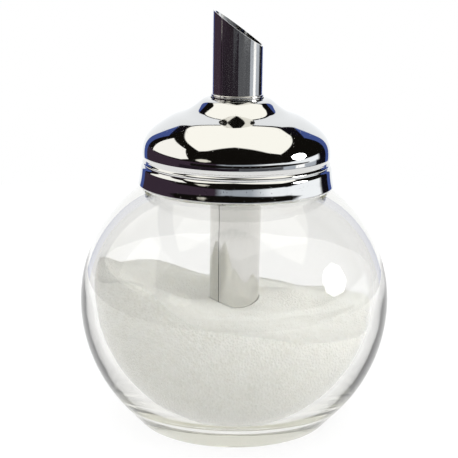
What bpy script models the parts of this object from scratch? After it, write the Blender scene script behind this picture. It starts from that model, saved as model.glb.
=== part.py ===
"""Sugar pourer: a thick glass globe jar with a screw-on domed metal lid and a dosing tube through the lid.

Metres, +Z up. The origin is the centre of the flat ring that the jar stands on, and the whole object is
turned about the Z axis. Run it with Blender on its own: blender --background --python part.py
"""

import math

import bmesh
import bpy
from mathutils import Vector

MM = 0.001

# ---- driving sizes, in millimetres -----------------------------------------------------------------------

# Clearances between neighbouring pieces
FIT_GAP = 0.35          # between pieces that seat on or in each other
THREAD_CLEARANCE = 0.35  # between the crests of the two threads
LID_CLEARANCE = 0.6     # between the lid's lower edge and the jar's shoulder
SUGAR_GAP = 0.3         # between the sugar and the glass

# Glass jar, outside
GLOBE_RADIUS = 45.0
GLOBE_CENTRE_Z = 36.0
GLOBE_UPPER_HEIGHT = 42.3   # half height of the globe's upper half, a little flatter than round
FLANK_ANGLE = 42.0          # degrees below the equator where the globe runs on as a straight flank
HEEL_RADIUS = 2.0
FOOT_RING_WIDTH = 6.0       # flat ring that the jar stands on
PUSH_UP_DEPTH = 1.2         # hollow under the jar, inside the ring
SHOULDER_LAND = 4.0         # flat land between the globe and the neck
NECK_RADIUS = 23.2          # at the root of the thread
NECK_HEIGHT = 11.3          # from the shoulder to the rim

# Glass jar, inside
WALL = 3.7                  # at the equator
BASE_THICKNESS = 7.0
HOLLOW_RISE = 2.0           # the hollow's centre above the globe's centre
SHOULDER_WALL = 5.0         # extra thickness of the glass under the shoulder, down from the globe's top
FLOOR_CORNER_RADIUS = 6.0
NECK_WALL = 3.0
LIP_RADIUS = 0.9

# Screw thread, on the jar's neck and inside the lid's insert
THREAD_PITCH = 4.0
THREAD_TURNS = 1.25
THREAD_HEIGHT = 0.95
INSERT_THREAD_HEIGHT = 0.45
THREAD_WIDTH = 1.5
INSERT_THREAD_WIDTH = 1.0
THREAD_START = 3.2          # above the shoulder

# Sugar
SUGAR_LEVEL = 33.0
SUGAR_CROWN = 2.0           # the heap stands this much higher round the tube
POCKET_DEPTH = 2.0          # hollow under the tube's lower end

# Seal and liner disc
GASKET_THICKNESS = 0.9
GASKET_OVERHANG = 1.0       # past the rim on the outside
DISC_THICKNESS = 1.4
DISC_COLLAR_HEIGHT = 1.6
DISC_COLLAR_WALL = 1.2

# Threaded insert in the lid
INSERT_WALL = 0.8
INSERT_FLANGE = 1.0         # height of the flange that the hem holds
INSERT_TOP_ABOVE_RIM = 0.8

# Lid shell
SHEET = 0.5
GROOVE_DEPTH = 0.5
SKIRT_STEP = 0.9            # the skirt's top stands out from the groove by this
SKIRT_FLARE = 0.75          # and its lower edge by this much more
SKIRT_HEIGHT = 5.2
BEAD_BAND = 2.3             # height of the groove and bead above the skirt
HEM_RADIUS = 0.8
SHOULDER_DROP = 1.6         # the dome's widest level above the groove
DOME_HEIGHT = 15.8          # from its widest level to the crown

# Dosing tube
TUBE_RADIUS = 7.25
TUBE_WALL = 0.6
TUBE_ABOVE_LID = 24.9       # from the crown to the spout's tip
TUBE_FOOT_Z = 15.0          # its lower end above the ground
CUT_ANGLE = 35.5            # degrees from level, at both ends
SWAGE_HEIGHT = 0.9          # ring pressed out of the tube where it sits on the lid
SWAGE_STAND = 0.35
WASHER_THICKNESS = 0.6
WASHER_WIDTH = 4.0
WASHER_TEETH = 8
BUSH_WALL = 2.2
BUSH_HEIGHT = 3.2
BUSH_FLANGE = 1.6           # the flange is wider than the sleeve by this
BUSH_FLANGE_HEIGHT = 1.2

STEPS = 40                  # facets round a turned piece

# The dome's outline, from the crown at the tube to its widest level: shares of the way out and of the height.
# A small boss round the tube, a slightly hollow slope and a full round shoulder.
DOME_FORM = (
    (0.00, 1.000), (0.06, 0.992), (0.115, 0.965), (0.18, 0.902), (0.25, 0.835), (0.34, 0.764), (0.42, 0.722),
    (0.50, 0.688), (0.58, 0.645), (0.65, 0.594), (0.79, 0.475), (0.89, 0.365), (0.955, 0.250), (0.99, 0.125),
    (1.00, 0.000),
)

# ---- levels and radii that follow from them --------------------------------------------------------------

ledge_radius = NECK_RADIUS + SHOULDER_LAND
shoulder_z = GLOBE_CENTRE_Z + GLOBE_UPPER_HEIGHT * math.sqrt(1 - (ledge_radius / GLOBE_RADIUS) ** 2)
rim_z = shoulder_z + NECK_HEIGHT
mouth_radius = NECK_RADIUS - NECK_WALL

hollow_radius = GLOBE_RADIUS - WALL
hollow_centre_z = GLOBE_CENTRE_Z + HOLLOW_RISE
hollow_upper_height = GLOBE_UPPER_HEIGHT - HOLLOW_RISE - SHOULDER_WALL

thread_crest = NECK_RADIUS + THREAD_HEIGHT
insert_crest = thread_crest + THREAD_CLEARANCE
insert_bore = insert_crest + INSERT_THREAD_HEIGHT
insert_radius = insert_bore + INSERT_WALL

groove_radius = insert_radius + FIT_GAP + SHEET
dome_radius = groove_radius + GROOVE_DEPTH
skirt_top_radius = groove_radius + SKIRT_STEP
skirt_foot_radius = skirt_top_radius + SKIRT_FLARE
skirt_foot_z = shoulder_z + LID_CLEARANCE
skirt_top_z = skirt_foot_z + SKIRT_HEIGHT
groove_z = skirt_top_z + BEAD_BAND * 0.8
dome_widest_z = skirt_top_z + BEAD_BAND + SHOULDER_DROP
crown_z = dome_widest_z + DOME_HEIGHT
hole_radius = TUBE_RADIUS + FIT_GAP

gasket_z = rim_z + FIT_GAP
disc_z = gasket_z + GASKET_THICKNESS + FIT_GAP
bush_bore = TUBE_RADIUS + FIT_GAP
bush_sleeve_radius = bush_bore + BUSH_WALL
bush_flange_radius = bush_sleeve_radius + BUSH_FLANGE

tube_tip_z = crown_z + TUBE_ABOVE_LID
cut_slope = math.tan(math.radians(CUT_ANGLE))
pocket_radius = TUBE_RADIUS + SWAGE_STAND + FIT_GAP
pocket_floor_z = TUBE_FOOT_Z - POCKET_DEPTH


# ---- helpers ---------------------------------------------------------------------------------------------


def dome_z(radius):
    """Level of the dome's outer surface at a radius."""
    out = (radius - hole_radius) / (dome_radius - hole_radius)
    for (r0, z0), (r1, z1) in zip(DOME_FORM, DOME_FORM[1:]):
        if out <= r1:
            return dome_widest_z + DOME_HEIGHT * (z0 + (z1 - z0) * (out - r0) / (r1 - r0))
    return dome_widest_z


def under_dome(radius):
    """Highest level that a piece of this radius can reach under the dome's sheet."""
    return dome_z(radius + SHEET + FIT_GAP) - SHEET - FIT_GAP


def clear_scene():
    for obj in list(bpy.data.objects):
        bpy.data.objects.remove(obj, do_unlink=True)
    for collection in list(bpy.data.collections):
        bpy.data.collections.remove(collection)


def new_collection(name):
    collection = bpy.data.collections.new(name)
    bpy.context.scene.collection.children.link(collection)
    return collection


def material(name, colour, roughness, metallic=0.0, transmission=0.0, ior=1.5):
    mat = bpy.data.materials.new(name)
    mat.use_nodes = True
    shader = mat.node_tree.nodes["Principled BSDF"]
    shader.inputs["Base Color"].default_value = (*colour, 1.0)
    shader.inputs["Roughness"].default_value = roughness
    shader.inputs["Metallic"].default_value = metallic
    shader.inputs["Transmission Weight"].default_value = transmission
    shader.inputs["IOR"].default_value = ior
    mat.diffuse_color = (*colour, 1.0)
    return mat


def arc(centre_r, centre_z, radius_r, radius_z, start, end, count):
    """Points (r, z) along an arc or a quarter of an ellipse, with angles in degrees up from +r."""
    points = []
    for index in range(count + 1):
        angle = math.radians(start + (end - start) * index / count)
        points.append((centre_r + radius_r * math.cos(angle), centre_z + radius_z * math.sin(angle)))
    return points


def rounded(before, corner, after, radius, count):
    """Points of the round that replaces the corner between two straight stretches."""
    at = Vector(corner)
    first = (Vector(before) - at).normalized()
    second = (Vector(after) - at).normalized()
    half = first.angle(second) / 2
    reach = radius / math.tan(half)
    middle = at + (first + second).normalized() * (radius / math.sin(half))
    start = at + first * reach - middle
    end = at + second * reach - middle
    turn = start.angle(end)
    points = []
    for index in range(count + 1):
        share = index / count
        direction = (start * math.sin((1 - share) * turn) + end * math.sin(share * turn)) / math.sin(turn)
        points.append(tuple(middle + direction))
    return points


def turned(name, profile, mat, collection, closed=False, steps=STEPS):
    """A piece turned about Z from points (r, z) in millimetres, which run down its outer side."""
    mesh = bpy.data.meshes.new(name)
    count = len(profile)
    edges = [(index, index + 1) for index in range(count - 1)]
    if closed:
        edges.append((count - 1, 0))
    mesh.from_pydata([(r * MM, 0, z * MM) for r, z in profile], edges, [])
    obj = bpy.data.objects.new(name, mesh)
    collection.objects.link(obj)
    screw = obj.modifiers.new("Turn", "SCREW")
    screw.axis = "Z"
    screw.steps = steps
    screw.render_steps = steps
    screw.use_merge_vertices = True
    screw.merge_threshold = 0.00001
    screw.use_smooth_shade = True
    if mat:
        mesh.materials.append(mat)
    return obj


def helix_ridge(name, radius, z_start, inward, mat, collection):
    """A round-topped thread ridge on a helix, as a mesh that a Boolean can join.

    Both ends taper into the wall that the ridge stands on.
    """
    height = INSERT_THREAD_HEIGHT if inward else THREAD_HEIGHT
    width = INSERT_THREAD_WIDTH if inward else THREAD_WIDTH
    steps = int(24 * THREAD_TURNS)
    curve = bpy.data.curves.new(name, "CURVE")
    curve.dimensions = "3D"
    curve.bevel_depth = width / 2 * MM
    curve.bevel_resolution = 1
    curve.use_fill_caps = True
    curve.twist_mode = "Z_UP"
    spline = curve.splines.new("POLY")
    spline.points.add(steps)
    sign = -1 if inward else 1
    for index, point in enumerate(spline.points):
        turn = THREAD_TURNS * index / steps
        share = min(1.0, (min(index, steps - index) + 1) / 4)
        reach = radius + sign * (height - width / 2) * share
        angle = 2 * math.pi * turn
        x, y = reach * math.cos(angle), reach * math.sin(angle)
        point.co = (x * MM, y * MM, (z_start + THREAD_PITCH * turn) * MM, 1)
        point.radius = share
    guide = bpy.data.objects.new(name + "_guide", curve)
    collection.objects.link(guide)
    graph = bpy.context.evaluated_depsgraph_get()
    mesh = bpy.data.meshes.new_from_object(guide.evaluated_get(graph))
    bm = bmesh.new()
    bm.from_mesh(mesh)
    bmesh.ops.remove_doubles(bm, verts=bm.verts, dist=0.000001)
    bmesh.ops.recalc_face_normals(bm, faces=bm.faces)
    bm.to_mesh(mesh)
    bm.free()
    mesh.materials.clear()
    mesh.materials.append(mat)
    ridge = bpy.data.objects.new(name, mesh)
    ridge.matrix_world = guide.matrix_world
    bpy.data.objects.remove(guide, do_unlink=True)
    collection.objects.link(ridge)
    as_cutter(ridge)
    return ridge


def as_cutter(obj):
    obj.hide_render = True
    obj.display_type = "WIRE"


def boolean(obj, other, operation):
    modifier = obj.modifiers.new(other.name, "BOOLEAN")
    modifier.operation = operation
    modifier.solver = "EXACT"
    modifier.object = other


def slant_cutter(name, level_z, above, collection):
    """A block that takes off the tube above (or below) a plane that falls towards +X."""
    size = 8 * TUBE_RADIUS
    bpy.ops.mesh.primitive_cube_add(size=size * MM)
    block = bpy.context.object
    block.name = name
    block.rotation_euler = (0, math.radians(CUT_ANGLE), 0)
    side = 1 if above else -1
    lean = Vector((math.sin(math.radians(CUT_ANGLE)), 0, math.cos(math.radians(CUT_ANGLE))))
    block.location = (Vector((0, 0, level_z)) + lean * side * size / 2) * MM
    for owner in list(block.users_collection):
        owner.objects.unlink(block)
    collection.objects.link(block)
    as_cutter(block)
    return block


def empty_at(name, z, parent=None):
    empty = bpy.data.objects.new(name, None)
    empty.empty_display_size = 0.02
    empty.location = (0, 0, z * MM)
    parts.objects.link(empty)
    if parent:
        attach(empty, parent)
    return empty


def attach(obj, parent):
    """Parents an object and leaves it where it is."""
    bpy.context.view_layer.update()
    obj.parent = parent
    obj.matrix_parent_inverse = parent.matrix_world.inverted()


# ---- glass jar and sugar ---------------------------------------------------------------------------------


def globe_point(angle):
    """A point of the globe's lower half, by the angle below its equator in degrees."""
    turn = math.radians(angle)
    return GLOBE_RADIUS * math.cos(turn), GLOBE_CENTRE_Z - GLOBE_RADIUS * math.sin(turn)


def hollow_floor_points(gap):
    """The hollow's outline below its equator, moved in by a gap, from the equator to the axis."""
    radius = hollow_radius - gap
    floor_z = BASE_THICKNESS + gap
    drop = hollow_centre_z - floor_z
    corner = math.degrees(math.asin(drop / radius))
    wall = arc(0, hollow_centre_z, radius, radius, 0, -corner, 18)
    floor_round = rounded(wall[-2], wall[-1], (0, floor_z), FLOOR_CORNER_RADIUS, 4)
    kept = [point for point in wall[:-1] if point[1] > floor_round[0][1] + 0.8]
    return kept + floor_round + [(0, floor_z)]


def jar_profile():
    upper_end = math.degrees(math.asin((shoulder_z - GLOBE_CENTRE_Z) / GLOBE_UPPER_HEIGHT))
    neck_foot = rounded((ledge_radius, shoulder_z), (NECK_RADIUS, shoulder_z), (NECK_RADIUS, rim_z), 0.8, 2)
    lip_outer = arc(NECK_RADIUS - LIP_RADIUS, rim_z - LIP_RADIUS, LIP_RADIUS, LIP_RADIUS, 90, 0, 3)
    lip_inner = arc(mouth_radius + LIP_RADIUS, rim_z - LIP_RADIUS, LIP_RADIUS, LIP_RADIUS, 180, 90, 3)
    flank_top = globe_point(FLANK_ANGLE)
    heel_r = flank_top[0] - flank_top[1] * math.tan(math.radians(FLANK_ANGLE))
    heel = rounded(flank_top, (heel_r, 0), (0, 0), HEEL_RADIUS, 4)
    ring_inner = heel[-1][0] - FOOT_RING_WIDTH

    points = lip_outer
    points += neck_foot[::-1]
    points += arc(0, GLOBE_CENTRE_Z, GLOBE_RADIUS, GLOBE_UPPER_HEIGHT, upper_end, 0, 12)
    points += arc(0, GLOBE_CENTRE_Z, GLOBE_RADIUS, GLOBE_RADIUS, 0, -FLANK_ANGLE, 10)[1:]
    points += heel
    points += [(ring_inner, 0), (ring_inner - 2.5, PUSH_UP_DEPTH * 0.7), (0, PUSH_UP_DEPTH)]

    neck_angle = math.degrees(math.acos(mouth_radius / hollow_radius))
    inside = hollow_floor_points(0)[::-1]
    inside += arc(0, hollow_centre_z, hollow_radius, hollow_upper_height, 0, neck_angle, 12)[1:]
    inside += lip_inner[:-1]
    return points + inside + [lip_inner[-1]]


def build_jar(glass):
    jar = turned("glass_jar", jar_profile(), glass, parts, closed=False)
    profile_mesh = jar.data
    profile_mesh.edges.add(1)
    profile_mesh.edges[-1].vertices = (len(profile_mesh.vertices) - 1, 0)
    ridge = helix_ridge("jar_thread", NECK_RADIUS, shoulder_z + THREAD_START, False, glass, cutters)
    boolean(jar, ridge, "UNION")
    return jar


def build_sugar(sugar):
    top_z = SUGAR_LEVEL
    below = [point for point in hollow_floor_points(SUGAR_GAP) if point[1] < top_z - 1.0]
    radius = hollow_radius - SUGAR_GAP
    offset = top_z - hollow_centre_z
    height = hollow_upper_height if offset > 0 else radius
    edge = radius * math.sqrt(1 - (offset / height) ** 2)
    heap = [
        (pocket_radius, top_z + SUGAR_CROWN),
        (pocket_radius + (edge - pocket_radius) * 0.35, top_z + SUGAR_CROWN * 0.75),
        (pocket_radius + (edge - pocket_radius) * 0.75, top_z + SUGAR_CROWN * 0.2),
        (edge, top_z),
    ]
    pocket = [(0, pocket_floor_z), (pocket_radius, pocket_floor_z)]
    return turned("sugar_fill", pocket + heap + below, sugar, parts)


# ---- seal, liner disc and insert -------------------------------------------------------------------------


def build_gasket(rubber):
    inner, outer = mouth_radius + LIP_RADIUS / 2, NECK_RADIUS + GASKET_OVERHANG
    top = gasket_z + GASKET_THICKNESS
    profile = [(inner, top), (outer, top), (outer, gasket_z), (inner, gasket_z)]
    return turned("sealing_gasket", profile, rubber, parts, closed=True)


def build_disc(plastic):
    hole = TUBE_RADIUS + FIT_GAP
    outer = NECK_RADIUS + GASKET_OVERHANG
    top = disc_z + DISC_THICKNESS
    collar_top = top + DISC_COLLAR_HEIGHT
    collar = hole + DISC_COLLAR_WALL
    profile = [
        (hole, collar_top), (collar, collar_top), (collar, top), (outer, top), (outer, disc_z), (hole, disc_z),
    ]
    return turned("liner_disc", profile, plastic, parts, closed=True)


def skirt_radius_at(z):
    """The skirt's outer radius at a level."""
    return skirt_foot_radius - SKIRT_FLARE * (z - skirt_foot_z) / SKIRT_HEIGHT


def build_insert(plastic):
    foot = skirt_foot_z + HEM_RADIUS + FIT_GAP
    flange_top = foot + INSERT_FLANGE
    flange_radius = skirt_radius_at(flange_top) - SHEET - FIT_GAP
    top = rim_z + INSERT_TOP_ABOVE_RIM
    profile = [
        (insert_bore, top), (insert_radius, top), (insert_radius, flange_top), (flange_radius, flange_top),
        (flange_radius, foot), (insert_bore, foot),
    ]
    insert = turned("threaded_insert", profile, plastic, parts, closed=True)
    ridge = helix_ridge("insert_thread", insert_bore, shoulder_z + THREAD_START, True, plastic, cutters)
    boolean(insert, ridge, "UNION")
    return insert


# ---- lid shell -------------------------------------------------------------------------------------------


def shell_profile():
    """The lid's outer surface, from the tube's hole down to the hem turned in under the skirt."""
    points = []
    for out, up in DOME_FORM:
        r = hole_radius + (dome_radius - hole_radius) * out
        points.append((r, dome_widest_z + DOME_HEIGHT * up))
    bead_radius = groove_radius + SKIRT_STEP * 0.5
    band = BEAD_BAND
    points += [
        (dome_radius - GROOVE_DEPTH * 0.12, dome_widest_z - SHOULDER_DROP * 0.55),
        (groove_radius + GROOVE_DEPTH * 0.3, dome_widest_z - SHOULDER_DROP),
        (groove_radius, groove_z),
        (bead_radius, skirt_top_z + band * 0.58),
        (bead_radius, skirt_top_z + band * 0.42),
        (bead_radius - SKIRT_STEP * 0.25, skirt_top_z + band * 0.24),
        (skirt_top_radius - 0.15, skirt_top_z + band * 0.06),
        (skirt_top_radius, skirt_top_z - 0.3),
    ]
    hem_r = skirt_foot_radius - HEM_RADIUS
    points += arc(hem_r, skirt_foot_z + HEM_RADIUS, HEM_RADIUS, HEM_RADIUS, 0, -90, 3)
    return points


def build_shell(chrome):
    shell = turned("lid_shell", shell_profile(), chrome, parts)
    wall = shell.modifiers.new("Sheet", "SOLIDIFY")
    wall.thickness = SHEET * MM
    wall.offset = -1
    wall.use_even_offset = True
    wall.use_rim = True
    return shell


# ---- dosing tube and what holds it -----------------------------------------------------------------------


def build_tube(steel):
    """A straight tube with a pressed-out ring over the lid, cut on a slant at both ends."""
    inner = TUBE_RADIUS - TUBE_WALL
    low = TUBE_FOOT_Z - 1
    high = tube_tip_z + 1
    swage_z = crown_z + FIT_GAP
    swage = arc(TUBE_RADIUS, swage_z + SWAGE_HEIGHT / 2, SWAGE_STAND, SWAGE_HEIGHT / 2, 90, -90, 4)
    profile = [(inner, high), (TUBE_RADIUS, high)] + swage + [(TUBE_RADIUS, low), (inner, low)]
    tube = turned("dosing_tube", profile, steel, parts, closed=True)
    spout_level = tube_tip_z - TUBE_RADIUS * cut_slope
    foot_level = TUBE_FOOT_Z + TUBE_RADIUS * cut_slope
    boolean(tube, slant_cutter("spout_cut", spout_level, True, cutters), "DIFFERENCE")
    boolean(tube, slant_cutter("foot_cut", foot_level, False, cutters), "DIFFERENCE")
    return tube


def build_bush(plastic):
    """A moulded bush that backs the lid's crown from below and guides the tube."""
    middle = (bush_bore + bush_flange_radius) / 2
    edge_z = under_dome(bush_flange_radius)
    step_z = edge_z - BUSH_FLANGE_HEIGHT
    low = step_z - BUSH_HEIGHT
    profile = [
        (bush_bore, under_dome(bush_bore)), (middle, under_dome(middle)), (bush_flange_radius, edge_z),
        (bush_flange_radius, step_z), (bush_sleeve_radius, step_z), (bush_sleeve_radius, low), (bush_bore, low),
    ]
    return turned("tube_bush", profile, plastic, parts, closed=True)


def build_washer(steel):
    """A push-on spring washer: a flat ring whose bore is slit into teeth that grip the tube."""
    inner = TUBE_RADIUS + FIT_GAP
    outer = inner + WASHER_WIDTH
    top = under_dome(bush_flange_radius) - BUSH_FLANGE_HEIGHT - BUSH_HEIGHT - FIT_GAP
    washer_z = top - WASHER_THICKNESS
    profile = [(inner, top), (outer, top), (outer, washer_z), (inner, washer_z)]
    washer = turned("retaining_washer", profile, steel, parts, closed=True)
    slit_length = inner + WASHER_WIDTH * 0.5
    for index in range(WASHER_TEETH):
        turn = 2 * math.pi * (index + 0.5) / WASHER_TEETH
        bpy.ops.mesh.primitive_cube_add(size=1)
        slit = bpy.context.object
        slit.name = f"washer_slit_{index + 1}"
        slit.data.transform(
            slit.matrix_world.Diagonal((slit_length * MM, 0.8 * MM, 4 * WASHER_THICKNESS * MM, 1))
        )
        slit.location = (
            math.cos(turn) * slit_length / 2 * MM, math.sin(turn) * slit_length / 2 * MM, washer_z * MM,
        )
        slit.rotation_euler = (0, 0, turn)
        for owner in list(slit.users_collection):
            owner.objects.unlink(slit)
        cutters.objects.link(slit)
        as_cutter(slit)
        boolean(washer, slit, "DIFFERENCE")
    return washer


# ---- assembly --------------------------------------------------------------------------------------------

clear_scene()
parts = new_collection("sugar_pourer")
cutters = new_collection("cutters")

glass = material("clear_glass", (0.93, 0.96, 0.94), 0.02, transmission=1.0, ior=1.52)
sugar = material("white_sugar", (0.90, 0.89, 0.86), 0.9)
chrome = material("polished_chrome", (0.86, 0.87, 0.88), 0.05, metallic=1.0)
steel = material("bright_steel", (0.74, 0.74, 0.73), 0.14, metallic=1.0)
spring_steel = material("spring_steel", (0.62, 0.62, 0.62), 0.3, metallic=1.0)
rubber = material("clear_silicone", (0.82, 0.82, 0.80), 0.5)
plastic = material("white_polypropylene", (0.86, 0.86, 0.84), 0.4)

jar = build_jar(glass)
build_sugar(sugar)

lift_axis = empty_at("lid_lift_axis", rim_z)
attach(build_gasket(rubber), lift_axis)
rise_axis = empty_at("thread_rise_axis", rim_z, lift_axis)
attach(build_disc(plastic), rise_axis)
turn_axis = empty_at("lid_turn_axis", rim_z, rise_axis)
for piece in (
    build_insert(plastic), build_shell(chrome), build_tube(steel), build_bush(plastic), build_washer(spring_steel),
):
    attach(piece, turn_axis)
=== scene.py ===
"""Sugar pourer: its finished pieces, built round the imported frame, and a plain studio to show it in.

The pourer is a thick glass globe jar half full of sugar, with a chromed screw lid and a dosing tube
through it. Lengths are in millimetres until they reach Blender, which works in metres. Levels and outside
radii are read from the frame's own boxes, so that each piece stands exactly where its solid does.
"""

import logging
import math
from dataclasses import dataclass
from enum import Enum
from typing import Any

import bpy
import numpy as np
from mathutils import Matrix, Vector

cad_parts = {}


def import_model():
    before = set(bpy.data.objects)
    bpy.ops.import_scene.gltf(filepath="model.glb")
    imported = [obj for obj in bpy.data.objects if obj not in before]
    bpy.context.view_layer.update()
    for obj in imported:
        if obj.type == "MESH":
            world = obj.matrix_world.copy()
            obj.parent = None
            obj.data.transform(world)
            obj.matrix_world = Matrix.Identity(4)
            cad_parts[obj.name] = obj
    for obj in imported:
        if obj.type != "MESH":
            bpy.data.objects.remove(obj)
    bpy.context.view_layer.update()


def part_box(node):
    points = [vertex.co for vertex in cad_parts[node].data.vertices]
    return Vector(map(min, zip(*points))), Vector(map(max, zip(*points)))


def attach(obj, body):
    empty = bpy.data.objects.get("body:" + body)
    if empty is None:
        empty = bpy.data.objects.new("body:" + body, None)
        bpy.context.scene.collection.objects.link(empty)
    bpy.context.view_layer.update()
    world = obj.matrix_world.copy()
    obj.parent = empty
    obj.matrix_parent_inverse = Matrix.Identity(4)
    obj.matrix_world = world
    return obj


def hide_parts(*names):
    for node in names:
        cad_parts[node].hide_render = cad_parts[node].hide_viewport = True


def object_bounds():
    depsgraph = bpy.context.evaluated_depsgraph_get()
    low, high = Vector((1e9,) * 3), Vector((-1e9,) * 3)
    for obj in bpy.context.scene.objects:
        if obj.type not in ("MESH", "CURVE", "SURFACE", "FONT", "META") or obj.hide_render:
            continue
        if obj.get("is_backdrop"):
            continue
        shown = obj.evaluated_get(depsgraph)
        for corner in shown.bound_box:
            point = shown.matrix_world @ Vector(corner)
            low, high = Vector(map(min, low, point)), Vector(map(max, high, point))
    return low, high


log = logging.getLogger("sugar_pourer")

MM = 0.001
ROUND_STEPS = 144  # facets round a turned piece, fine enough for clean reflections
CLOSE = 0.001 * MM  # points nearer than this are one point
SHARP = 34.0  # degrees: an edge that turns more than this is drawn, and rounded, as an edge
THREAD_RUN_IN = 1.6  # how far a thread runs on while it sinks into its wall

Point = tuple[float, float]
Outline = list[Point]


class Body(Enum):
    """The moving bodies of the frame."""

    JAR = "jar"
    GASKET = "gasket"
    LINER = "liner"
    LID = "lid"


class Slot(Enum):
    """The record's material slots."""

    GLASS = "glass"
    SUGAR = "sugar"
    CHROME = "chrome"
    STEEL = "steel"
    SPRING_STEEL = "spring_steel"
    SEAL = "seal"
    PLASTIC = "plastic"


# ---- colour and nodes ------------------------------------------------------------------------------------


def linear(colour: str, level: float = 1.0) -> tuple[float, float, float, float]:
    """Turns an sRGB hex colour into linear values.

    Args:
        colour: The colour as #rrggbb.
        level: A factor on the linear values, above 1 for a bright light.

    Returns:
        Red, green, blue and an alpha of 1.
    """
    parts = [int(colour[i : i + 2], 16) / 255 for i in (1, 3, 5)]
    r, g, b = (p / 12.92 if p <= 0.04045 else ((p + 0.055) / 1.055) ** 2.4 for p in parts)
    return r * level, g * level, b * level, 1.0


def add_node(
    tree: bpy.types.NodeTree,
    kind: str,
    settings: dict[str, Any] | None = None,
    inputs: dict[str | int, Any] | None = None,
) -> bpy.types.Node:
    """Adds a node with its settings, its values and its links.

    Args:
        tree: The tree that gets the node.
        kind: The node's type.
        settings: Values of the node's own properties.
        inputs: For each input, by name or number, its value or the output that feeds it.

    Returns:
        The new node.
    """
    node = tree.nodes.new(kind)
    for name, value in (settings or {}).items():
        setattr(node, name, value)
    for name, value in (inputs or {}).items():
        if isinstance(value, bpy.types.NodeSocket):
            tree.links.new(value, node.inputs[name])
        else:
            node.inputs[name].default_value = value
    return node


def new_material(name: str, shader: dict[str, Any]) -> tuple[bpy.types.Material, bpy.types.Node]:
    """Makes a material with one Principled shader.

    Args:
        name: The material's name.
        shader: Values of the shader's sockets.

    Returns:
        The material and its shader node.
    """
    material = bpy.data.materials.new(name)
    material.use_nodes = True
    principled = material.node_tree.nodes["Principled BSDF"]
    for socket, value in shader.items():
        principled.inputs[socket].default_value = value
    return material, principled


def set_bump(
    tree: bpy.types.NodeTree,
    shader: bpy.types.Node,
    height: bpy.types.NodeSocket,
    depth_mm: float,
    strength: float,
) -> None:
    """Gives a shader a fine relief.

    Args:
        tree: The material's tree.
        shader: The shader that is given the relief.
        height: The output that holds the height, from 0 to 1.
        depth_mm: How deep the relief is from 0 to 1.
        strength: How strongly it shows.
    """
    relief = {"Height": height, "Distance": depth_mm * MM, "Strength": strength}
    bump = add_node(tree, "ShaderNodeBump", inputs=relief)
    tree.links.new(bump.outputs["Normal"], shader.inputs["Normal"])


# ---- finishes --------------------------------------------------------------------------------------------


@dataclass(frozen=True)
class SodaLimeGlass:
    """Clear soda-lime container glass, blown in a mould.

    It is colourless where thin and faintly green-grey along a thick wall or base, with a fire-polished skin
    whose slow waves bend what is seen through it.
    """

    name: str = "soda_lime_glass"
    ior: float = 1.52
    tint: str = "#d3d2ba"
    tint_per_metre: float = 14.0
    wave_mm: float = 14.0
    wave_depth_mm: float = 0.10

    def material(self) -> bpy.types.Material:
        """Makes the material.

        Returns:
            The material.
        """
        material, shader = new_material(
            self.name,
            {
                "Base Color": linear("#fbfbfb"),
                "Roughness": 0.0,
                "IOR": self.ior,
                "Transmission Weight": 1.0,
            },
        )
        tree = material.node_tree
        place = add_node(tree, "ShaderNodeTexCoord")
        # Slow swells left by the mould and the blowing.
        swell = add_node(
            tree,
            "ShaderNodeTexNoise",
            inputs={"Vector": place.outputs["Object"], "Scale": 1 / (self.wave_mm * MM), "Detail": 1.0},
        )
        set_bump(tree, shader, swell.outputs["Fac"], self.wave_depth_mm, 0.6)
        tinge = add_node(
            tree,
            "ShaderNodeVolumeAbsorption",
            inputs={"Color": linear(self.tint), "Density": self.tint_per_metre},
        )
        tree.links.new(tinge.outputs["Volume"], tree.nodes["Material Output"].inputs["Volume"])
        return material


@dataclass(frozen=True)
class GranulatedSugar:
    """White granulated sugar, half-millimetre crystals.

    A soft, faintly warm white that lets light in a little way, with a fine grain and a few glinting faces.
    """

    name: str = "granulated_sugar"
    colour: str = "#fcfcf5"
    dull: str = "#eae9df"
    grain_mm: float = 0.6  # the crystals are 0.4 to 0.6 mm
    clump_mm: float = 5.0

    def material(self) -> bpy.types.Material:
        """Makes the material.

        Returns:
            The material.
        """
        material, shader = new_material(
            self.name,
            {
                "Roughness": 0.75,
                "IOR": 1.54,
                "Subsurface Weight": 0.35,
                "Subsurface Radius": (1.0, 0.96, 0.9),
                "Subsurface Scale": 1.5 * MM,
            },
        )
        tree = material.node_tree
        place = add_node(tree, "ShaderNodeTexCoord")
        crystals = add_node(
            tree,
            "ShaderNodeTexVoronoi",
            inputs={"Vector": place.outputs["Object"], "Scale": 1 / (self.grain_mm * MM)},
        )
        clumps = add_node(
            tree,
            "ShaderNodeTexNoise",
            inputs={"Vector": place.outputs["Object"], "Scale": 1 / (self.clump_mm * MM), "Detail": 4.0},
        )
        # Each crystal is a little lighter or duller than the next.
        tone = add_node(
            tree,
            "ShaderNodeMapRange",
            inputs={"Value": crystals.outputs["Color"], "To Min": 0.0, "To Max": 1.3},
        )
        blend = add_node(
            tree,
            "ShaderNodeMath",
            {"operation": "MULTIPLY"},
            {0: tone.outputs["Result"], 1: clumps.outputs["Fac"]},
        )
        colour = add_node(
            tree,
            "ShaderNodeMix",
            {"data_type": "RGBA"},
            {0: blend.outputs["Value"], 6: linear(self.colour), 7: linear(self.dull)},
        )
        tree.links.new(colour.outputs[2], shader.inputs["Base Color"])
        set_bump(tree, shader, crystals.outputs["Distance"], 0.35, 0.8)
        return material


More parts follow.
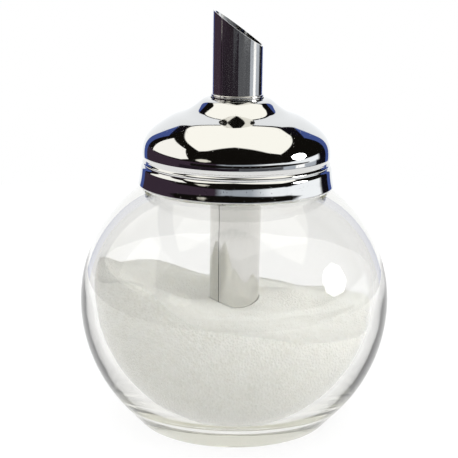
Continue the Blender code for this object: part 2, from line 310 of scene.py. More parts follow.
@dataclass(frozen=True)
class PolishedChrome:
    """Bright nickel-chrome plate over pressed sheet steel, buffed before plating.

    A near mirror, a shade warm in the whites, with patches of heavier and lighter buffing and a few
    pin-prick pits.
    """

    name: str = "polished_chrome"
    colour: str = "#d3d3d2"
    haze_mm: float = 9.0  # patches of heavier and lighter buffing
    pit_mm: float = 0.9

    def material(self) -> bpy.types.Material:
        """Makes the material.

        Returns:
            The material.
        """
        material, shader = new_material(
            self.name, {"Base Color": linear(self.colour), "Metallic": 1.0, "Roughness": 0.03}
        )
        tree = material.node_tree
        place = add_node(tree, "ShaderNodeTexCoord")
        haze = add_node(
            tree,
            "ShaderNodeTexNoise",
            inputs={
                "Vector": place.outputs["Object"],
                "Scale": 1 / (self.haze_mm * MM),
                "Detail": 5.0,
                "Roughness": 0.6,
            },
        )
        rough = add_node(
            tree,
            "ShaderNodeMapRange",
            inputs={
                "Value": haze.outputs["Fac"],
                "From Min": 0.35,
                "From Max": 0.75,
                "To Min": 0.015,
                "To Max": 0.075,
            },
        )
        tree.links.new(rough.outputs["Result"], shader.inputs["Roughness"])
        # Pits are a few hundredths of a millimetre across in plating, drawn coarser so that they show.
        pits = add_node(
            tree,
            "ShaderNodeTexVoronoi",
            inputs={"Vector": place.outputs["Object"], "Scale": 1 / (self.pit_mm * MM)},
        )
        dots = add_node(
            tree,
            "ShaderNodeMapRange",
            inputs={"Value": pits.outputs["Distance"], "From Min": 0.05, "From Max": 0.16},
        )
        set_bump(tree, shader, dots.outputs["Result"], 0.02, 0.25)
        return material


@dataclass(frozen=True)
class RolledSteel:
    """Bright stainless strip, rolled into a tube and lightly polished.

    It mirrors softly, with faint lines along the tube and a fine orange-peel of pits.
    """

    name: str = "rolled_stainless_steel"
    colour: str = "#dddcd9"
    line_mm: float = 0.5
    pit_mm: float = 0.8

    def material(self) -> bpy.types.Material:
        """Makes the material.

        Returns:
            The material.
        """
        material, shader = new_material(
            self.name, {"Base Color": linear(self.colour), "Metallic": 1.0, "Roughness": 0.1}
        )
        tree = material.node_tree
        place = add_node(tree, "ShaderNodeTexCoord")
        # Drawing lines run up the tube: the pattern is stretched forty times along Z.
        along = add_node(
            tree,
            "ShaderNodeMapping",
            inputs={"Vector": place.outputs["Object"], "Scale": (1.0, 1.0, 0.025)},
        )
        lines = add_node(
            tree,
            "ShaderNodeTexNoise",
            inputs={"Vector": along.outputs["Vector"], "Scale": 1 / (self.line_mm * MM), "Detail": 3.0},
        )
        peel = add_node(
            tree,
            "ShaderNodeTexNoise",
            inputs={"Vector": place.outputs["Object"], "Scale": 1 / (self.pit_mm * MM), "Detail": 2.0},
        )
        relief = add_node(
            tree,
            "ShaderNodeMath",
            {"operation": "MULTIPLY_ADD"},
            {0: lines.outputs["Fac"], 1: 0.5, 2: peel.outputs["Fac"]},
        )
        rough = add_node(
            tree,
            "ShaderNodeMapRange",
            inputs={
                "Value": lines.outputs["Fac"],
                "From Min": 0.3,
                "From Max": 0.7,
                "To Min": 0.05,
                "To Max": 0.14,
            },
        )
        tree.links.new(rough.outputs["Result"], shader.inputs["Roughness"])
        set_bump(tree, shader, relief.outputs["Value"], 0.012, 0.5)
        return material


@dataclass(frozen=True)
class SpringSteel:
    """Hardened spring strip, stamped and oil-blackened slightly: a grey metal with a dull, cloudy sheen."""

    name: str = "stamped_spring_steel"
    colour: str = "#a3a3a6"
    cloud_mm: float = 1.5

    def material(self) -> bpy.types.Material:
        """Makes the material.

        Returns:
            The material.
        """
        material, shader = new_material(
            self.name, {"Base Color": linear(self.colour), "Metallic": 1.0, "Roughness": 0.3}
        )
        tree = material.node_tree
        place = add_node(tree, "ShaderNodeTexCoord")
        cloud = add_node(
            tree,
            "ShaderNodeTexNoise",
            inputs={"Vector": place.outputs["Object"], "Scale": 1 / (self.cloud_mm * MM), "Detail": 6.0},
        )
        rough = add_node(
            tree, "ShaderNodeMapRange", inputs={"Value": cloud.outputs["Fac"], "To Min": 0.2, "To Max": 0.5}
        )
        tree.links.new(rough.outputs["Result"], shader.inputs["Roughness"])
        set_bump(tree, shader, cloud.outputs["Fac"], 0.02, 0.4)
        return material


@dataclass(frozen=True)
class MouldedPolypropylene:
    """White polypropylene, injection moulded.

    It is waxy and slightly see-through at thin edges, with a fine moulded skin.
    """

    name: str = "moulded_polypropylene"
    colour: str = "#efefea"
    skin_mm: float = 0.4

    def material(self) -> bpy.types.Material:
        """Makes the material.

        Returns:
            The material.
        """
        material, shader = new_material(
            self.name,
            {
                "Base Color": linear(self.colour),
                "Roughness": 0.38,
                "IOR": 1.49,
                "Subsurface Weight": 0.2,
                "Subsurface Scale": 1.0 * MM,
            },
        )
        tree = material.node_tree
        place = add_node(tree, "ShaderNodeTexCoord")
        skin = add_node(
            tree,
            "ShaderNodeTexNoise",
            inputs={"Vector": place.outputs["Object"], "Scale": 1 / (self.skin_mm * MM), "Detail": 2.0},
        )
        rough = add_node(
            tree, "ShaderNodeMapRange", inputs={"Value": skin.outputs["Fac"], "To Min": 0.3, "To Max": 0.48}
        )
        tree.links.new(rough.outputs["Result"], shader.inputs["Roughness"])
        set_bump(tree, shader, skin.outputs["Fac"], 0.02, 0.3)
        return material


@dataclass(frozen=True)
class SiliconeRubber:
    """Milky food-grade silicone, pressed: soft, matt and a little cloudy."""

    name: str = "milky_silicone"
    colour: str = "#dfe0dc"
    cloud_mm: float = 1.2

    def material(self) -> bpy.types.Material:
        """Makes the material.

        Returns:
            The material.
        """
        material, shader = new_material(
            self.name,
            {
                "Base Color": linear(self.colour),
                "Roughness": 0.55,
                "IOR": 1.41,
                "Subsurface Weight": 0.4,
                "Subsurface Scale": 1.2 * MM,
            },
        )
        tree = material.node_tree
        place = add_node(tree, "ShaderNodeTexCoord")
        cloud = add_node(
            tree,
            "ShaderNodeTexNoise",
            inputs={"Vector": place.outputs["Object"], "Scale": 1 / (self.cloud_mm * MM), "Detail": 3.0},
        )
        set_bump(tree, shader, cloud.outputs["Fac"], 0.03, 0.4)
        return material


# ---- outlines --------------------------------------------------------------------------------------------


def arc(centre: Point, radii: Point, start: float, end: float, count: int) -> Outline:
    """Points along part of an ellipse.

    Args:
        centre: Its centre, as radius and level.
        radii: Its half width and half height.
        start: The first angle, in degrees up from level outwards.
        end: The last angle.
        count: How many stretches.

    Returns:
        The points, both ends among them.
    """
    angles = [math.radians(start + (end - start) * i / count) for i in range(count + 1)]
    return [(centre[0] + radii[0] * math.cos(a), centre[1] + radii[1] * math.sin(a)) for a in angles]


def rounded(before: Point, corner: Point, after: Point, radius: float, count: int = 8) -> Outline:
    """Points of the round that replaces a corner.

    Args:
        before: A point on the stretch that comes to the corner.
        corner: The corner.
        after: A point on the stretch that leaves it.
        radius: The round's radius.
        count: How many stretches.

    Returns:
        The points, from the first stretch to the second.
    """
    at = Vector(corner)
    first, second = (Vector(before) - at).normalized(), (Vector(after) - at).normalized()
    half = first.angle(second) / 2
    middle = at + (first + second).normalized() * (radius / math.sin(half))
    start, end = (at + side * (radius / math.tan(half)) - middle for side in (first, second))
    turn = start.angle(end)
    shares = [i / count for i in range(count + 1)]
    return [
        tuple(middle + (start * math.sin((1 - s) * turn) + end * math.sin(s * turn)) / math.sin(turn))
        for s in shares
    ]


def flowing(points: Outline, step: float) -> Outline:
    """A smooth line through points, with no kink in its slope or its curvature.

    Args:
        points: The points that it passes through.
        step: The length of its stretches.

    Returns:
        The points of the line.
    """
    given = np.array(points)
    along = np.concatenate([[0], np.cumsum(np.hypot(*np.diff(given, axis=0).T))])
    gaps = np.diff(along)
    count = len(given)
    matrix, right = np.eye(count), np.zeros((count, 2))
    for i in range(1, count - 1):
        matrix[i, i - 1 : i + 2] = gaps[i - 1], 2 * (gaps[i - 1] + gaps[i]), gaps[i]
        right[i] = 6 * ((given[i + 1] - given[i]) / gaps[i] - (given[i] - given[i - 1]) / gaps[i - 1])
    bend = np.linalg.solve(matrix, right)
    line = []
    for at in np.linspace(0, along[-1], max(2, round(along[-1] / step)) + 1):
        i = min(int(np.searchsorted(along, at, side="right")) - 1, count - 2)
        gap, a = gaps[i], along[i + 1] - at
        b = gap - a
        point = (bend[i] * a**3 + bend[i + 1] * b**3) / (6 * gap)
        point = point + (given[i] / gap - bend[i] * gap / 6) * a
        point = point + (given[i + 1] / gap - bend[i + 1] * gap / 6) * b
        line.append((float(point[0]), float(point[1])))
    return line


# ---- modelling -------------------------------------------------------------------------------------------


def begin_edit(piece: bpy.types.Object) -> None:
    """Makes a piece the only selected one and opens it for editing, with all of it selected.

    Args:
        piece: The piece.
    """
    bpy.ops.object.select_all(action="DESELECT")
    piece.select_set(True)
    bpy.context.view_layer.objects.active = piece
    bpy.ops.object.mode_set(mode="EDIT")
    bpy.ops.mesh.select_all(action="SELECT")


def end_edit(piece: bpy.types.Object, sharp_degrees: float = SHARP) -> None:
    """Closes a piece's editing and shades it smooth up to an angle.

    Args:
        piece: The piece.
        sharp_degrees: The angle above which an edge stays sharp.
    """
    bpy.ops.object.mode_set(mode="OBJECT")
    bpy.ops.object.select_all(action="DESELECT")
    piece.select_set(True)
    bpy.context.view_layer.objects.active = piece
    bpy.ops.object.transform_apply(location=True, rotation=True, scale=True)
    bpy.ops.object.shade_smooth_by_angle(angle=math.radians(sharp_degrees))


def turned(
    name: str,
    outline: Outline,
    closed: bool = True,
    start: float = 0.0,
    sweep: float = 360.0,
    steps: int = ROUND_STEPS,
) -> bpy.types.Object:
    """Draws an outline point by point and spins it about Z.

    Args:
        name: The piece's name.
        outline: Its points, as radius and level.
        closed: Whether the outline's last point joins its first.
        start: The direction in which the outline is drawn, in degrees from +X.
        sweep: How far it is spun, in degrees.
        steps: How many facets the spin makes.

    Returns:
        The piece.
    """
    bpy.ops.object.select_all(action="DESELECT")
    bpy.ops.mesh.primitive_plane_add(size=MM)
    piece = bpy.context.object
    piece.name = piece.data.name = name
    begin_edit(piece)
    bpy.ops.mesh.merge(type="CENTER")
    side = Vector((math.cos(math.radians(start)), math.sin(math.radians(start)), 0))
    points = [side * (r * MM) + Vector((0, 0, z * MM)) for r, z in outline]
    bpy.ops.transform.translate(value=points[0])
    for before, after in zip(points, points[1:] + points[:1] * closed):
        bpy.ops.mesh.extrude_vertices_move(TRANSFORM_OT_translate={"value": after - before})
    bpy.ops.mesh.select_all(action="SELECT")
    bpy.ops.mesh.remove_doubles(threshold=CLOSE)
    bpy.ops.mesh.spin(
        steps=steps,
        angle=math.radians(sweep),
        center=(0, 0, 0),
        axis=(0, 0, 1),
        use_auto_merge=sweep == 360,
    )
    bpy.ops.mesh.select_all(action="SELECT")
    bpy.ops.mesh.remove_doubles(threshold=2 * CLOSE)
    bpy.ops.mesh.dissolve_degenerate(threshold=0.1 * CLOSE)
    bpy.ops.mesh.select_all(action="SELECT")
    bpy.ops.mesh.normals_make_consistent(inside=False)
    end_edit(piece)
    return piece


def apply_modifier(piece: bpy.types.Object, name: str, kind: str, settings: dict[str, Any]) -> None:
    """Adds a modifier to a piece and applies it at once.

    Args:
        piece: The piece.
        name: The modifier's name.
        kind: Its type.
        settings: Its settings.
    """
    modifier = piece.modifiers.new(name, kind)
    for setting, value in settings.items():
        setattr(modifier, setting, value)
    bpy.ops.object.select_all(action="DESELECT")
    piece.select_set(True)
    bpy.context.view_layer.objects.active = piece
    bpy.ops.object.modifier_apply(modifier=modifier.name)


def soften_edges(piece: bpy.types.Object, width: float, segments: int = 3) -> None:
    """Rounds a piece's sharp edges to a width in millimetres.

    Args:
        piece: The piece.
        width: How wide the round is, in millimetres.
        segments: How many flats make the round.
    """
    settings = {
        "width": width * MM,
        "segments": segments,
        "limit_method": "ANGLE",
        "angle_limit": math.radians(SHARP),
        "use_clamp_overlap": True,
        "harden_normals": False,
    }
    apply_modifier(piece, "Soft edges", "BEVEL", settings)


def combine(piece: bpy.types.Object, other: bpy.types.Object, operation: str) -> None:
    """Joins another solid to a piece, cuts it out or keeps what they share, and removes the other.

    Args:
        piece: The piece that stays.
        other: The solid that is used up.
        operation: UNION, DIFFERENCE or INTERSECT.
    """
    settings = {"operation": operation, "solver": "EXACT", "object": other}
    apply_modifier(piece, operation, "BOOLEAN", settings)
    bpy.data.objects.remove(other, do_unlink=True)


def thread_ridge(
    name: str,
    radius: float,
    foot: float,
    pitch: float,
    turns: float,
    height: float,
    width: float,
    inward: bool,
) -> bpy.types.Object:
    """A round-topped thread ridge that winds up a neck and sinks into it at both ends.

    Args:
        name: The ridge's name.
        radius: The wall that it stands on.
        foot: The level of its lower end.
        pitch: Its rise in one turn.
        turns: How many turns it makes.
        height: How far it stands out of the wall.
        width: Its width.
        inward: Whether it stands on the inside of a ring.

    Returns:
        The ridge, a closed solid.
    """
    sign = -1 if inward else 1
    centre = radius + sign * (height - width / 2)
    bpy.ops.object.select_all(action="DESELECT")
    bpy.ops.mesh.primitive_circle_add(
        vertices=12,
        radius=width / 2 * MM,
        location=(centre * MM, 0, foot * MM),
        rotation=(math.radians(90), 0, 0),
    )
    ridge = bpy.context.object
    ridge.name = name
    bpy.ops.object.transform_apply(location=True, rotation=True, scale=True)
    steps = round(72 * turns)
    settings = {
        "angle": math.radians(360 * turns),
        "screw_offset": pitch * turns * MM,
        "steps": steps,
        "render_steps": steps,
    }
    apply_modifier(ridge, "Thread", "SCREW", settings)
    # Both open ends run on into the wall and are closed there.
    for end in (0.0, 360.0 * turns):
        way = Vector((math.cos(math.radians(end)), math.sin(math.radians(end)), 0))
        on = Vector((-way.y, way.x, 0)) * (-1 if end == 0 else 1)
        middle = way * (centre * MM) + Vector((0, 0, (foot + pitch * end / 360) * MM))
        begin_edit(ridge)
        bpy.ops.mesh.select_all(action="DESELECT")
        bpy.ops.object.mode_set(mode="OBJECT")
        for vertex in ridge.data.vertices:
            from_middle = vertex.co - middle
            in_end = abs(from_middle.dot(on)) < 0.01 * MM
            vertex.select = in_end and from_middle.length < (width / 2 + 0.02) * MM
        bpy.ops.object.mode_set(mode="EDIT")
        run_in = on * (THREAD_RUN_IN * MM) - way * (sign * height * 1.1 * MM)
        bpy.ops.mesh.extrude_edges_move(TRANSFORM_OT_translate={"value": run_in})
        bpy.ops.transform.resize(value=(0.7, 0.7, 0.7), center_override=middle + run_in)
        bpy.ops.mesh.edge_face_add()
        bpy.ops.object.mode_set(mode="OBJECT")
    begin_edit(ridge)
    bpy.ops.mesh.remove_doubles(threshold=CLOSE)
    bpy.ops.mesh.normals_make_consistent(inside=False)
    end_edit(ridge)
    return ridge


def place_piece(
    piece: bpy.types.Object, material: bpy.types.Material, body: Body, node: str
) -> None:
    """Dresses a finished piece and ties it to the frame.

    Args:
        piece: The piece.
        material: Its material.
        body: The body that it moves with.
        node: The solid that it stands for.
    """
    piece.data.materials.clear()
    piece.data.materials.append(material)
    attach(piece, body.value)
    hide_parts(node)
    log.info("%s: %d faces, on %s, for %s", piece.name, len(piece.data.polygons), body.value, node)


def levels_of(node: str) -> tuple[float, float, float]:
    """A solid's lowest and highest level and its outside radius, in millimetres.

    Args:
        node: The CAD node.

    Returns:
        The lowest level, the highest level and the radius.
    """
    low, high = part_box(node)
    return low.z / MM, high.z / MM, high.x / MM


# ---- jar and sugar ---------------------------------------------------------------------------------------


@dataclass
class Jar:
    """The glass jar: a globe with a flat foot, a shoulder and a threaded neck, and the hollow inside it."""

    equator: float = 36.0
    upper_height: float = 42.3
    flank_angle: float = 42.0
    heel: float = 2.0
    foot_ring: float = 6.0
    push_up: float = 1.2
    shoulder_land: float = 4.0
    neck_radius: float = 23.2
    neck_height: float = 11.3
    wall: float = 3.7
    base: float = 7.0
    hollow_rise: float = 2.0
    shoulder_wall: float = 5.0
    floor_corner: float = 6.0
    neck_wall: float = 3.0
    lip: float = 0.9
    thread_pitch: float = 4.0
    thread_turns: float = 1.25
    thread_height: float = 0.95
    thread_width: float = 1.5
    thread_start: float = 3.2

    def __post_init__(self) -> None:
        """Reads the jar's outside from the frame."""
        self.foot_z, self.rim_z, self.radius = levels_of("glass_jar")
        self.shoulder_z = self.rim_z - self.neck_height
        self.hollow_radius = self.radius - self.wall
        self.hollow_centre = self.equator + self.hollow_rise
        self.hollow_upper = self.upper_height - self.hollow_rise - self.shoulder_wall

    def floor_outline(self, gap: float) -> Outline:
        """The hollow's lower outline.

        Args:
            gap: How far it is moved in from the glass.

        Returns:
            The points from the hollow's widest level down to the axis.
        """
        radius, level = self.hollow_radius - gap, self.base + gap
        corner = math.degrees(math.asin((self.hollow_centre - level) / radius))
        wall = arc((0, self.hollow_centre), (radius, radius), 0, -corner, 48)
        turn = rounded(wall[-2], wall[-1], (0, level), self.floor_corner)
        kept = [point for point in wall[:-1] if point[1] > turn[0][1] + 0.3]
        return kept + turn + [(turn[-1][0] * 0.5, level), (0, level)]

    def outline(self) -> Outline:
        """The whole outline: down the outside from the lip to the foot and back up the inside.

        Returns:
            The points, as radius and level.
        """
        ledge, neck = self.neck_radius + self.shoulder_land, self.neck_radius
        mouth = neck - self.neck_wall
        top = math.degrees(math.asin((self.shoulder_z - self.equator) / self.upper_height))
        globe = arc((0, self.equator), (self.radius, self.upper_height), top, 0, 40)
        below = arc((0, self.equator), (self.radius, self.radius), 0, -self.flank_angle, 28)
        edge = rounded((neck, self.shoulder_z), globe[0], globe[1], 0.35, 4)
        foot_r = below[-1][0] - (below[-1][1] - self.foot_z) * math.tan(math.radians(self.flank_angle))
        heel = rounded(below[-1], (foot_r, self.foot_z), (0, self.foot_z), self.heel)
        ring = heel[-1][0] - self.foot_ring
        points = arc((neck - self.lip, self.rim_z - self.lip), (self.lip, self.lip), 90, 0, 8)
        points += rounded((neck, self.rim_z), (neck, self.shoulder_z), (ledge, self.shoulder_z), 0.8)
        points += edge + globe[1:] + below[1:] + heel
        hollow = [
            (ring, self.foot_z),
            (ring - 1.2, self.foot_z + self.push_up * 0.35),
            (ring - 4, self.foot_z + self.push_up * 0.85),
            (ring * 0.4, self.push_up),
            (0, self.push_up),
        ]
        points += flowing(hollow, 1.2)
        points += self.floor_outline(0)[::-1]
        throat = math.degrees(math.acos(mouth / self.hollow_radius))
        points += arc((0, self.hollow_centre), (self.hollow_radius, self.hollow_upper), 0, throat, 40)[1:]
        points += arc((mouth + self.lip, self.rim_z - self.lip), (self.lip, self.lip), 180, 90, 8)
        return points

    def build(self, glass: bpy.types.Material) -> bpy.types.Object:
        """Builds the jar with its thread.

        Args:
            glass: The jar's material.

        Returns:
            The jar.
        """
        jar = turned("jar_glass", self.outline())
        foot = self.shoulder_z + self.thread_start
        ridge = thread_ridge(
            "jar_thread_ridge",
            self.neck_radius,
            foot,
            self.thread_pitch,
            self.thread_turns,
            self.thread_height,
            self.thread_width,
            inward=False,
        )
        combine(jar, ridge, "UNION")
        end_edit(jar)
        place_piece(jar, glass, Body.JAR, "glass_jar")
        return jar


@dataclass(frozen=True)
class Push:
    """One push of the hand on the sugar's surface: where, how far up, and how wide it reaches."""

    x: float
    y: float
    rise: float
    reach: float


@dataclass
class SugarHeap:
    """The sugar: it fills the hollow from below.

    Its top is a tilted heap with a ridge along the front and a valley beside the tube.
    """

    jar: Jar
    level: float = 37.0
    gap: float = 0.12  # air between the crystals and the glass
    tube_gap: float = 0.25
    tilt: float = -0.13  # fall from left to right
    crest: float = 22.0  # how far above the hollow's middle the heap may reach
    depth: float = 70.0  # how far down the block goes that is cut out of the fill
    unevenness: float = 0.10
    grid: int = 120
    pushes: tuple[Push, ...] = (
        Push(-42, -2, 6.0, 25),
        Push(-26, -30, 7.5, 24),
        Push(2, -40, 1.2, 20),
        Push(36, -2, 4.5, 26),
        Push(16, 4, 2.5, 13),
        Push(-6, 42, -6.0, 26),
        Push(20, 36, -4.0, 20),
        Push(-17, 2, -5.5, 17),
        Push(0, -8, -2.6, 11),
    )

    def surface(self) -> bpy.types.Object:
        """The sculpted top, as a block whose upper face is the heap.

        Returns:
            The block, a closed solid that reaches below the jar's floor.
        """
        reach = self.jar.hollow_radius + 3
        bpy.ops.object.select_all(action="DESELECT")
        bpy.ops.mesh.primitive_grid_add(
            x_subdivisions=self.grid,
            y_subdivisions=self.grid,
            size=2 * reach * MM,
            location=(0, 0, self.level * MM),
        )
        block = bpy.context.object
        block.name = "heap_block"
        bpy.ops.object.transform_apply(location=True, rotation=True, scale=True)
        for vertex in block.data.vertices:
            vertex.co.z += vertex.co.x * self.tilt
        for push in self.pushes:
            begin_edit(block)
            bpy.ops.mesh.select_all(action="DESELECT")
            bpy.ops.object.mode_set(mode="OBJECT")
            middle = Vector((push.x * MM, push.y * MM))
            nearest = min(block.data.vertices, key=lambda v: (v.co.xy - middle).length_squared)
            nearest.select = True
            bpy.ops.object.mode_set(mode="EDIT")
            bpy.ops.transform.translate(
                value=(0, 0, push.rise * MM),
                use_proportional_edit=True,
                proportional_edit_falloff="SMOOTH",
                proportional_size=push.reach * MM,
            )
            bpy.ops.object.mode_set(mode="OBJECT")
        begin_edit(block)
        bpy.ops.transform.vertex_random(offset=self.unevenness * MM, uniform=0.0, normal=1.0, seed=7)
        bpy.ops.mesh.extrude_region_move(TRANSFORM_OT_translate={"value": (0, 0, -self.depth * MM)})
        bpy.ops.mesh.select_all(action="SELECT")
        bpy.ops.mesh.normals_make_consistent(inside=False)
        end_edit(block, 60)
        return block

    def build(self, sugar: bpy.types.Material, tube_radius: float) -> bpy.types.Object:
        """Builds the sugar.

        Args:
            sugar: The sugar's material.
            tube_radius: The dosing tube's outside radius.

        Returns:
            The sugar.
        """
        jar = self.jar
        pocket_r, pocket_z = tube_radius + self.tube_gap, levels_of("dosing_tube")[0] - 2
        radius, height = jar.hollow_radius - self.gap, jar.hollow_upper - self.gap
        top = math.degrees(math.asin(self.crest / height))
        upper = arc((0, jar.hollow_centre), (radius, height), top, 0, 32)
        outline = [(0, pocket_z), (pocket_r, pocket_z), (pocket_r, upper[0][1])] + upper
        outline += jar.floor_outline(self.gap)[1:]
        heap = turned("sugar_heap", outline, closed=False)
        combine(heap, self.surface(), "INTERSECT")
        end_edit(heap, 50)
        place_piece(heap, sugar, Body.JAR, "sugar_fill")
        return heap


# ---- seal and liner --------------------------------------------------------------------------------------


@dataclass
class Seal:
    """The soft ring on the rim and the moulded disc above it."""

    ring_inner: float = 20.65
    ring_round: float = 0.3
    disc_thickness: float = 1.4
    collar_bore: float = 7.6
    collar_wall: float = 1.2
    bead: float = 0.15

    def build_ring(self, rubber: bpy.types.Material) -> bpy.types.Object:
        """Builds the sealing ring with rounded edges.

        Args:
            rubber: The ring's material.

        Returns:
            The ring.
        """
        low, high, radius = levels_of("sealing_gasket")
        corners = [(self.ring_inner, high), (radius, high), (radius, low), (self.ring_inner, low)]
        outline: Outline = []
        for i, corner in enumerate(corners):
            outline += rounded(corners[i - 1], corner, corners[(i + 1) % 4], self.ring_round, 4)
        ring = turned("sealing_ring", outline)
        place_piece(ring, rubber, Body.GASKET, "sealing_gasket")
        return ring

    def build_disc(self, plastic: bpy.types.Material) -> bpy.types.Object:
        """Builds the liner disc with its collar and two low sealing beads on top.

        Args:
            plastic: The disc's material.

        Returns:
            The disc.
        """
        low, high, radius = levels_of("liner_disc")
        top, collar = low + self.disc_thickness, self.collar_bore + self.collar_wall
        outline: Outline = [(self.collar_bore, high), (collar, high), (collar, top)]
        for middle in (radius * 0.62, radius * 0.86):
            outline += arc((middle, top), (0.8, self.bead), 180, 0, 6)
        outline += [(radius, top), (radius, low), (self.collar_bore, low)]
        disc = turned("liner_plate", outline)
        soften_edges(disc, 0.18)
        end_edit(disc)
        place_piece(disc, plastic, Body.LINER, "liner_disc")
        return disc


# ---- lid -------------------------------------------------------------------------------------------------


@dataclass
class Lid:
    """The screw lid: chromed shell, threaded ring and dosing tube, and the bush and washer that hold it."""

    jar: Jar
    sheet: float = 0.5
    fit_gap: float = 0.35
    groove_radius: float = 26.6
    dome_radius: float = 27.1
    skirt_top_radius: float = 27.5
    skirt_height: float = 5.2
    bead_band: float = 2.3
    lip_height: float = 1.35
    lip_radius: float = 28.0
    lip_roll: float = 0.35
    dome_height: float = 15.8
    hole_radius: float = 7.6
    tube_radius: float = 7.25
    tube_wall: float = 0.6
    cut_angle: float = 35.5
    swage_height: float = 0.9
    swage_stand: float = 0.35
    seam_direction: float = 229.0  # in degrees from +X: forward and to the left
    seam_width: float = 0.22
    insert_wall: float = 0.8
    insert_flange: float = 1.0
    insert_thread_height: float = 0.45
    insert_thread_width: float = 1.0
    bush_wall: float = 2.2
    bush_flange: float = 1.6
    bush_flange_height: float = 1.2
    washer_width: float = 4.0
    washer_teeth: int = 8
    washer_slit: float = 0.8
    # The dome from the tube's hole to its widest level: shares of the way out and of the height.
    dome_form: tuple[Point, ...] = (
        (0.00, 1.000), (0.06, 0.992), (0.115, 0.965), (0.18, 0.902), (0.25, 0.835),
        (0.34, 0.764), (0.42, 0.722), (0.50, 0.688), (0.58, 0.645), (0.65, 0.594),
        (0.79, 0.475), (0.89, 0.365), (0.955, 0.250), (0.99, 0.125), (1.00, 0.000),
    )

    def __post_init__(self) -> None:
        """Reads the lid's levels from the frame."""
        self.foot_z, self.crown_z, self.foot_radius = levels_of("lid_shell")
        self.skirt_top = self.foot_z + self.skirt_height
        self.widest_z = self.crown_z - self.dome_height
        self.groove_z = self.skirt_top + self.bead_band * 0.8

    def shell_outline(self) -> Outline:
        """The shell's outer line, from the tube's hole to the hem turned in under the skirt.

        Returns:
            The points, as radius and level.
        """
        dome = self.dome_line()
        band, top = self.bead_band, self.skirt_top
        bead = self.groove_radius + 0.45
        dome += [
            (self.dome_radius - 0.06, self.widest_z - 0.88),
            (self.groove_radius + 0.18, self.widest_z - 1.5),
            (self.groove_radius, self.groove_z),
            (bead - 0.12, top + band * 0.66),
            (bead, top + band * 0.5),
            (bead - 0.2, top + band * 0.3),
            (self.skirt_top_radius - 0.3, top + band * 0.12),
            (self.skirt_top_radius, top - 0.35),
        ]
        line = flowing(dome, 0.22)
        # The skirt runs straight down to a lip that turns out a little more and is then rolled under.
        lip = self.foot_z + self.lip_height
        for share in (0.33, 0.67, 1.0):
            z = top - 0.35 + (lip - top + 0.35) * share
            line.append((self.skirt_top_radius + (self.lip_radius - self.skirt_top_radius) * share, z))
        roll = self.lip_roll
        line.append((self.foot_radius - 0.02, self.foot_z + roll * 1.5))
        return line + arc((self.foot_radius - roll, self.foot_z + roll), (roll, roll), 0, -100, 8)

    def build_shell(self, chrome: bpy.types.Material) -> bpy.types.Object:
        """Builds the shell from its outer line, thickened inwards.

        Args:
            chrome: The shell's material.

        Returns:
            The shell.
        """
        shell = turned("chromed_shell", self.shell_outline(), closed=False, steps=192)
        begin_edit(shell)
        bpy.ops.mesh.normals_make_consistent(inside=False)
        end_edit(shell)
        wall = {"thickness": self.sheet * MM, "offset": -1.0, "use_even_offset": True, "use_rim": True}
        apply_modifier(shell, "Sheet", "SOLIDIFY", wall)
        end_edit(shell, 60)
        place_piece(shell, chrome, Body.LID, "lid_shell")
        return shell

    def build_insert(self, plastic: bpy.types.Material) -> bpy.types.Object:
        """Builds the threaded ring inside the skirt.

        Args:
            plastic: The ring's material.

        Returns:
            The ring.
        """
        low, high, flange = levels_of("threaded_insert")
        jar = self.jar
        bore = jar.neck_radius + jar.thread_height + self.fit_gap + self.insert_thread_height
        outer, step = bore + self.insert_wall, low + self.insert_flange
        outline = [(bore, high), (outer, high), (outer, step), (flange, step), (flange, low), (bore, low)]
        ring = turned("thread_ring", outline)
        foot = jar.shoulder_z + jar.thread_start
        ridge = thread_ridge(
            "ring_thread_ridge",
            bore,
            foot,
            jar.thread_pitch,
            jar.thread_turns,
            self.insert_thread_height,
            self.insert_thread_width,
            inward=True,
        )
        combine(ring, ridge, "UNION")
        end_edit(ring)
        place_piece(ring, plastic, Body.LID, "threaded_insert")
        return ring

    def build_tube(self, steel: bpy.types.Material) -> bpy.types.Object:
        """Builds the dosing tube: a rolled sheet with an open seam, cut on a slant at both ends.

        Args:
            steel: The tube's material.

        Returns:
            The tube.
        """
        low, high, _ = levels_of("dosing_tube")
        radius, foot = self.tube_radius, self.crown_z + self.fit_gap
        middle = foot + self.swage_height / 2
        swage = arc((radius, middle), (self.swage_stand, self.swage_height / 2), 90, -90, 12)
        outline = [(radius, high + 2), (radius, high - 10)] + swage
        outline += [(radius, low + 30), (radius, low - 2)]
        seam = math.degrees(self.seam_width / radius)
        tube = turned(
            "spout_tube",
            outline,
            closed=False,
            start=self.seam_direction + seam / 2,
            sweep=360 - seam,
            steps=120,
        )
        slope = math.tan(math.radians(self.cut_angle))
        lean = Vector((slope, 0, 1)).normalized()
        wall = {"thickness": self.tube_wall * MM, "offset": -1.0, "use_even_offset": True, "use_rim": True}
        apply_modifier(tube, "Sheet", "SOLIDIFY", wall)
        for level, spout in ((high - radius * slope, True), (low + radius * slope, False)):
            begin_edit(tube)
            bpy.ops.mesh.bisect(
                plane_co=(0, 0, level * MM),
                plane_no=lean,
                use_fill=True,
                clear_outer=spout,
                clear_inner=not spout,
            )
            bpy.ops.object.mode_set(mode="OBJECT")
        begin_edit(tube)
        bpy.ops.mesh.normals_make_consistent(inside=False)
        end_edit(tube, 40)
        place_piece(tube, steel, Body.LID, "dosing_tube")
        return tube

    def dome_line(self) -> Outline:
        """The dome's outside, from the tube's hole to its widest level.

        Returns:
            The points, as radius and level.
        """
        inner, foot = self.hole_radius, self.widest_z
        span = self.dome_radius - inner
        return [(inner + span * out, foot + self.dome_height * up) for out, up in self.dome_form]

    def dome_level(self, radius: float) -> float:
        """The level of the dome's outside at a radius."""
        return float(np.interp(radius, *zip(*self.dome_line())))

